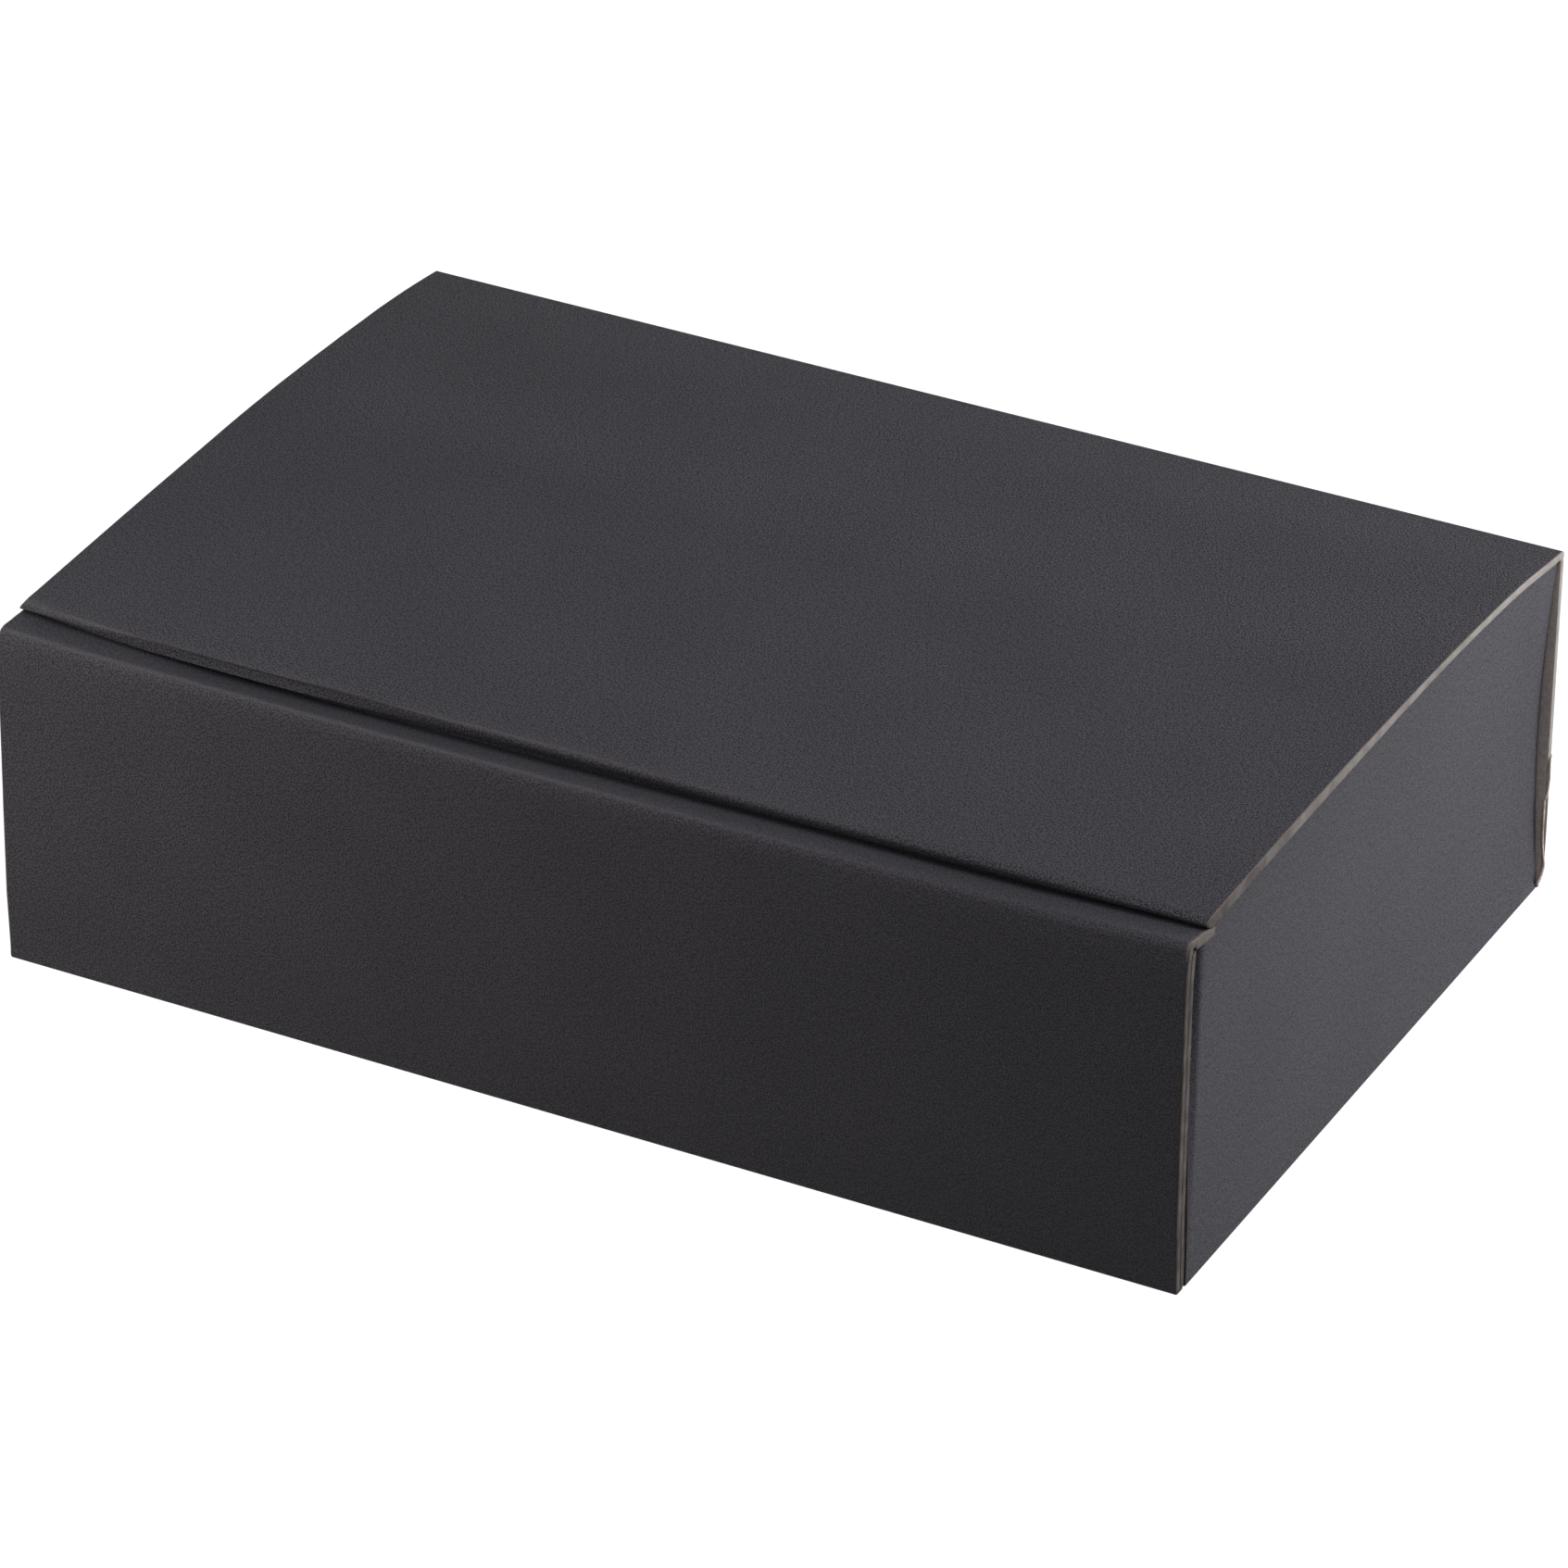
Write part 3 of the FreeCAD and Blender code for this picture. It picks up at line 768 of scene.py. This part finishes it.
def lid_outer(a, c):
    """Upper face, round the nose and back under it to the crushed board. Past lid_flat, c counts the turn, which
    is tight above and leans back below."""
    depth, drop = nose_back(a), nose_round(a)
    flat_end = lid_front + depth
    if c <= lid_flat:
        y = lid_start - c
        return a, y, lid_top(a, y)
    share = (c - lid_flat) / (lid_run - lid_flat)
    if share <= nose_from:
        y = lid_start - lid_flat + (flat_end - lid_start + lid_flat) * share / nose_from
        return a, y, lid_top(a, y)
    turn = nose_turn * min(1.0, (share - nose_from) / (nose_to - nose_from))
    if turn <= math.pi / 2:
        y = flat_end - depth * math.sin(turn)
        fall = upper_fall * (1 - math.cos(turn))
    else:
        y = lid_front + min(lean_back * depth, lean_most) * (1 - math.sin(turn))
        fall = upper_fall - lower_fall * math.cos(turn)
    z = lid_top(a, y) - drop * fall
    under = max(0.0, (share - nose_to) / (1 - nose_to))
    root = lid_top(a, web_front) - board - swelling(a, web_front) - 0.04
    return a, y + (web_front - y) * under, z + (root - z) * under


def lid_inner(a, c):
    y = lid_start - c if c <= lid_flat else lid_start - lid_flat + (
        web_front - lid_start + lid_flat) * (c - lid_flat) / (lid_run - lid_flat)
    return a, y, lid_top(a, y) - board - swelling(a, y)


lid_lines = [0, 1.5, 3, 5] + [7 + 134 * k / 40 for k in range(41)]
lid_lines += [lid_flat + (lid_run - lid_flat) * k / 100 for k in
              (12, 25, 31, 37, 43, 49, 55, 61, 67, 73, 80, 90, 100)]
end_lines = [-114.5, -113.5, -112.2, -110.6, -108.5]
lid_along = [-half_length] + end_lines + [-106 + 212 * k / 48 for k in range(49)] + [
    -x for x in reversed(end_lines)] + [half_length]


def lid_rub(a, c):
    return 0.15 + (0.12 * front_share(lid_start - c) if a > 0 else 0)


# Painted shade on the lid's cut edges, by place from front to back: dark at the front, light at the back.
lid_edge_shade_curve = smooth_curve([-71, -61, -45, -27, -8, 12, 31, 52, 76],
                        [0.92, 0.85, 0.7, 0.5, 0.38, 0.27, 0.3, 0.06, 0.1])


def lid_edge_shade(a, c, depth):
    """The lid's cut edge is clean at the back and painted darker towards the front, where less light reaches it:
    painted shade.
    """
    return lid_edge_shade_curve(lid_start - c)


def lid_stretch_and_highlight(a, c):
    """The paper is stretched pale over the nose and carries a painted highlight there, most of all at the left,
    where more light falls.
    """
    share = (c - lid_flat) / (lid_run - lid_flat)
    if share <= 0:
        return 0
    return 0.8 * math.exp(-((share - 0.36) / 0.09) ** 2) * min(1.0, max(0.0, (70 - a) / 90))


def lid_grain_and_sheen(a, c):
    """The grain's specks are painted in strong contrast at the back of the lid, where light grazes it, and weak at
    the front: painted sheen. Its relief is stronger at the back too.
    """
    t = min(max((c - 25) / 50, 0.0), 1.0)
    return 1.9 - 1.4 * t * t * (3 - 2 * t)


lid = board_piece("lid_top_panel", lid_along, lid_lines, lid_outer, lid_inner, ("left", "right"), board_finish,
                  roughness=0.05, start=(0, 600 + back_height + hinge_width), rub=lid_rub, stretch_and_highlight=lid_stretch_and_highlight,
                  edge_soil_and_shade=lid_edge_shade, grain=lid_grain_and_sheen)
place_on(lid, "lid", "lid_panel")


# ---------------------------------------------------------------- lid hinge crease
# The creased corner on which the lid turns. The board is pressed thin along it, and its black paper runs on
# unbroken from the back wall to the lid.


def along_path(path, share):
    """The point at a share of a path of straight runs, each with an equal part of the share."""
    at = share * (len(path) - 1)
    k = min(int(at), len(path) - 2)
    t = at - k
    return tuple(path[k][n] + (path[k + 1][n] - path[k][n]) * t for n in (0, 1))


def hinge_outer(a, c):
    top = hinge_height(a)
    foot, shoulder = (back_y, top - hinge_leg), (back_y, top - 1.0)
    end = (lid_start, lid_top(a, lid_start))
    lid_side = (back_y - 1.0, lid_top(a, back_y - 1.0))
    if c <= 0.25:
        y, z = along_path([foot, shoulder], c / 0.25)
    elif c >= 0.75:
        y, z = along_path([lid_side, end], (c - 0.75) / 0.25)
    else:
        t = (c - 0.25) / 0.5
        corner = (back_y, top + 0.05)
        y, z = (shoulder[n] * (1 - t) ** 2 + 2 * corner[n] * t * (1 - t) + lid_side[n] * t * t for n in (0, 1))
    return a, y, z


def hinge_inner(a, c):
    top = hinge_height(a)
    path = [(back_inner, top - hinge_leg), (back_inner, top - board + 0.1),
            (lid_start, lid_top(a, lid_start) - board)]
    y, z = along_path(path, c)
    return a, y, z


hinge_lines = [k / 16 for k in range(17)]
hinge = board_piece("lid_hinge_fold", lid_along, hinge_lines, hinge_outer, hinge_inner, ("left", "right"),
                    board_finish, roughness=0.05, start=(0, 600 + back_height))
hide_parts("lid_hinge_crease")
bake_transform(hinge)


# ---------------------------------------------------------------- groove and strip
# In front of the lid the board is crushed back under the lid's edge and comes out again as a narrow strip, lower
# than the lid. The strip slopes up a little towards the flap, most of all at the right.

strip_rear = -67.8
strip_rear_top = smooth_curve([-115, -112, -108, -102, 50, 80, 100, 115],
                              [67.25, 67.05, 66.55, 66.15, 66.1, 66.5, 67.3, 67.75])
strip_start = -75.0       # where the strip ends and the flap's crease begins
flap_face = -77.6         # outer face of the flap at its upper edge
flap_top = smooth_curve([-115, -96, -77, -40, -4, 31, 66, 100, 115],
                        [67.3, 66.95, 66.95, 66.95, 67.2, 67.4, 67.75, 68.3, 69.0])


def strip_top(x, y):
    share = (strip_rear - y) / (strip_rear - flap_face)
    return strip_rear_top(x) + (flap_top(x) - strip_rear_top(x)) * share


def corner_rub(a, c):
    """The paper is rubbed widely at the right-hand front corner."""
    return 0.85 if a > 0 else 0.25


strip_thick = 1.25        # the board is pressed thinner here
strip = board_piece(
    "flap_hinge_strip", lid_along, [0, 0.4, 0.9] + [1.5 + 5.7 * k / 8 for k in range(9)],
    lambda a, c: (a, strip_rear - c, strip_top(a, strip_rear - c)),
    lambda a, c: (a, strip_rear - c, strip_top(a, strip_rear - c) - strip_thick - swelling(a, strip_rear - c)),
    ("left", "right"), board_finish, roughness=0.05, start=(0, 830), rub=corner_rub, edge_soil_and_shade=lambda a, c, depth: 0.6)
place_on(strip, "lid", "hinge_strip")


def web_height(x, y):
    return lid_top(x, y) - board - swelling(x, y) - strip_top(x, y)


# The crushed board's cut ends, deep in the groove, are painted fully dark: painted shade.
web = board_piece(
    "groove_crushed_board", lid_along, [0, 0.1, 0.3, 0.5, 0.7, 0.9, 1],
    lambda a, c: (a, web_front - 0.1 * math.sin(math.pi * c),
                  strip_top(a, web_front) + web_height(a, web_front) * c),
    lambda a, c: (a, strip_rear + 0.1 * math.sin(math.pi * c),
                  strip_top(a, strip_rear) + web_height(a, strip_rear) * c),
    ("left", "right"), board_finish, roughness=0.08, start=(0, 826), edge_soil_and_shade=lambda a, c, depth: 1.0)
place_on(web, "lid", "groove_web")


# ---------------------------------------------------------------- flap crease
# The soft fold on which the flap turns, with the black paper stretched pale along its top under a painted
# highlight. It follows the strip on one side and the flap on the other.

crease_leg = 3.0          # how far down the flap the crease piece reaches

# How far the flap's face stands out, by height
flap_bow = smooth_curve([0, 3, 6, 10, 15, 20, 30, 40, 50, 60, 64, 66, 70],
                        [-0.1, -0.04, 0.08, 0.36, 0.62, 0.68, 0.84, 0.88, 0.95, 0.95, 0.8, 0.5, 0.2])


def crease_outer(a, c):
    """From the strip, round a soft corner and down to the flap's front ply."""
    top = flap_top(a)
    low = top - crease_leg
    start = (strip_start, strip_top(a, strip_start))
    strip_side = (flap_face + 1.9, strip_top(a, flap_face + 1.9))
    flap_side = (flap_face - flap_bow(top - 2.2), top - 2.2)
    end = (flap_face - flap_bow(low), low)
    if c <= 0.2:
        y, z = along_path([start, strip_side], c / 0.2)
    elif c >= 0.85:
        y, z = along_path([flap_side, end], (c - 0.85) / 0.15)
    else:
        t = (c - 0.2) / 0.65
        corner = (flap_face - 0.25, top + 0.25)
        y, z = (strip_side[n] * (1 - t) ** 2 + 2 * corner[n] * t * (1 - t) + flap_side[n] * t * t for n in (0, 1))
    return a, y, z


def crease_inner(a, c):
    top = flap_top(a)
    low = top - crease_leg
    path = [(strip_start, strip_top(a, strip_start) - strip_thick),
            (flap_face + 1.3, strip_top(a, flap_face + 1.3) - strip_thick),
            (flap_face - flap_bow(low) + board, low)]
    y, z = along_path(path, c)
    return a, y, z


def crease_stretch_and_highlight(a, c):
    """The paper is stretched pale along the fold and carries a painted highlight there, more at the left, where
    more light falls.
    """
    return 0.7 * math.exp(-((c - 0.45) / 0.1) ** 2) * min(1.0, max(0.0, (90 - a) / 100))


crease = board_piece("flap_crease_fold", lid_along, [k / 20 for k in range(21)], crease_outer, crease_inner,
                     ("left", "right"), board_finish, roughness=0.05, start=(0, 840), rub=corner_rub,
                     stretch_and_highlight=crease_stretch_and_highlight, edge_soil_and_shade=lambda a, c, depth: 0.75)
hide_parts("flap_crease")
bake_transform(crease)


# ---------------------------------------------------------------- flap
# Two plies glued back to back and folded together at the bottom, so both faces are black. The flap bows out a
# little in front of the tray. Its cut edges are rubbed, and painted dark as shade.


def flap_edge_shade(a, c, depth):
    """The flap's cut edges lie at the front, where less light reaches, and are painted dark: painted shade."""
    return 0.88


fold_start = 0.9          # height at which the bottom fold begins
inner_ply_top = 65.2


def outer_ply_z(a, c):
    top = flap_top(a) - crease_leg
    return top + (fold_start - top) * c


ply_lines = [0, 0.01, 0.03] + [0.06 + 0.9 * k / 16 for k in range(17)] + [0.98, 1]
outer_ply = board_piece(
    "flap_front_ply", lid_along, ply_lines,
    lambda a, c: (a, flap_face - flap_bow(outer_ply_z(a, c)), outer_ply_z(a, c)),
    lambda a, c: (a, flap_face - flap_bow(outer_ply_z(a, c)) + board, outer_ply_z(a, c)),
    ("left", "right"), board_finish, edge_soil_and_shade=flap_edge_shade, roughness=0.04, start=(0, 1000))
place_on(outer_ply, "flap", "flap_outer_ply")


def inner_ply_z(a, c):
    """The back ply reaches up to just under the strip, highest at the right."""
    top = flap_top(a) - strip_thick - swelling(a, strip_start) - 0.35
    return c + (c - fold_start) / (inner_ply_top - fold_start) * (top - inner_ply_top)


inner_ply = board_piece(
    "flap_back_ply", lid_along, grid_lines(fold_start, inner_ply_top, 5),
    lambda a, c: (a, flap_face - flap_bow(inner_ply_z(a, c)) + 2 * board, inner_ply_z(a, c)),
    lambda a, c: (a, flap_face - flap_bow(inner_ply_z(a, c)) + board, inner_ply_z(a, c)),
    ("left", "right", "far"), board_finish, edge_soil_and_shade=flap_edge_shade, roughness=0.04, start=(0, 1100))
place_on(inner_ply, "flap", "flap_inner_ply")


def bottom_outer(a, c):
    """From the front ply, round the bottom and up to the back ply."""
    front, rear = flap_face - flap_bow(fold_start), flap_face - flap_bow(fold_start) + 2 * board
    path = [(front, fold_start), (front + 0.03, 0.55), (front + 0.18, 0.22), (front + 0.45, 0.08),
            (front + 0.9, 0.04), (rear - 0.9, 0.04), (rear - 0.45, 0.08), (rear - 0.18, 0.22),
            (rear - 0.03, 0.55), (rear, fold_start)]
    y, z = along_path(path, c)
    return a, y, z


def bottom_inner(a, c):
    middle = flap_face - flap_bow(fold_start) + board
    return a, middle + 0.02 * (2 * c - 1), fold_start - 0.02


bottom_fold = board_piece("flap_bottom_roll", lid_along, [k / 18 for k in range(19)], bottom_outer, bottom_inner,
                          ("left", "right"), board_finish, edge_soil_and_shade=flap_edge_shade, roughness=0.04, start=(0, 1080))
place_on(bottom_fold, "flap", "flap_bottom_fold")


# ---------------------------------------------------------------- table, light and camera
# The box stands on a plain white table in soft studio light. The camera is a long lens, above and to the right
# of the flap.


def table_top():
    """A wide plain table that stays white in the picture and keeps a faint shadow of the box."""
    reach = 4.0
    mesh = bpy.data.meshes.new("table")
    corners = [(-reach, -reach), (reach, -reach), (reach, reach), (-reach, reach)]
    mesh.from_pydata([(x, y, -0.05 * mm) for x, y in corners], [], [(0, 1, 2, 3)])
    table = bpy.data.objects.new("table", mesh)
    bpy.context.scene.collection.objects.link(table)
    material = bpy.data.materials.new("white_table")
    material.use_nodes = True
    tree = material.node_tree
    tree.nodes.clear()
    rays = add_node(tree, "ShaderNodeLightPath").outputs
    seen = math_node(tree, "ADD", rays["Is Camera Ray"], rays["Is Glossy Ray"], clamp=True)
    seen = math_node(tree, "ADD", seen, rays["Is Transmission Ray"], clamp=True)
    matt = add_node(tree, "ShaderNodeBsdfDiffuse", {"Color": (0.2, 0.2, 0.2, 1)})
    white = add_node(tree, "ShaderNodeEmission", {"Color": (1, 1, 1, 1), "Strength": math_node(
        tree, "MULTIPLY", seen, 0.98)})
    both = add_node(tree, "ShaderNodeAddShader", {0: matt.outputs[0], 1: white.outputs[0]})
    output = tree.nodes.new("ShaderNodeOutputMaterial")
    tree.links.new(both.outputs[0], output.inputs[0])
    mesh.materials.append(material)


table_top()

world = bpy.data.worlds.new("studio")
bpy.context.scene.world = world
world.use_nodes = True
air = world.node_tree
air.nodes.clear()
rays = add_node(air, "ShaderNodeLightPath").outputs
seen = math_node(air, "MAXIMUM", math_node(air, "MAXIMUM", rays["Is Camera Ray"], rays["Is Glossy Ray"]),
                 rays["Is Transmission Ray"])
dim = add_node(air, "ShaderNodeBackground", {"Color": (1, 1, 1, 1), "Strength": 0.03})
white = add_node(air, "ShaderNodeBackground", {"Color": (1, 1, 1, 1), "Strength": 1.0})
both = add_node(air, "ShaderNodeMixShader", {0: seen, 1: dim.outputs[0], 2: white.outputs[0]})
air.links.new(both.outputs[0], air.nodes.new("ShaderNodeOutputWorld").inputs[0])


def soft_lamp(name, place, width, power, colour):
    """A square soft box that faces the middle of the box."""
    lamp = bpy.data.lights.new(name, "AREA")
    lamp.shape = "SQUARE"
    lamp.size = width
    lamp.energy = power
    lamp.color = colour
    holder = bpy.data.objects.new(name, lamp)
    bpy.context.scene.collection.objects.link(holder)
    holder.location = place
    aim = Vector((-place[0], -place[1], 0.035 - place[2]))
    holder.rotation_euler = aim.to_track_quat("-Z", "Y").to_euler()


soft_lamp("front_left_box", (-0.22, -0.22, 0.2), 0.15, 0.34, (0.97, 1, 1))
soft_lamp("low_left_box", (-0.35, -0.3, 0.06), 0.2, 0.68, (1.15, 1, 0.96))
soft_lamp("right_box", (0.38, 0.25, 0.11), 0.2, 1.64, (1, 0.99, 1.03))
soft_lamp("top_box", (0.2, -0.06, 0.45), 0.3, 1.0, (1.03, 1, 1.08))

camera = bpy.data.objects.new("camera", bpy.data.cameras.new("camera"))
bpy.context.scene.collection.objects.link(camera)
camera.data.sensor_width = 36
camera.data.lens = 208.576
camera.location = (0.638366, -1.252498, 0.836054)
camera.rotation_euler = [math.radians(t) for t in (60.12836, -0.802415, 27.47433)]
bpy.context.scene.camera = camera
bpy.context.scene.view_settings.view_transform = "Standard"
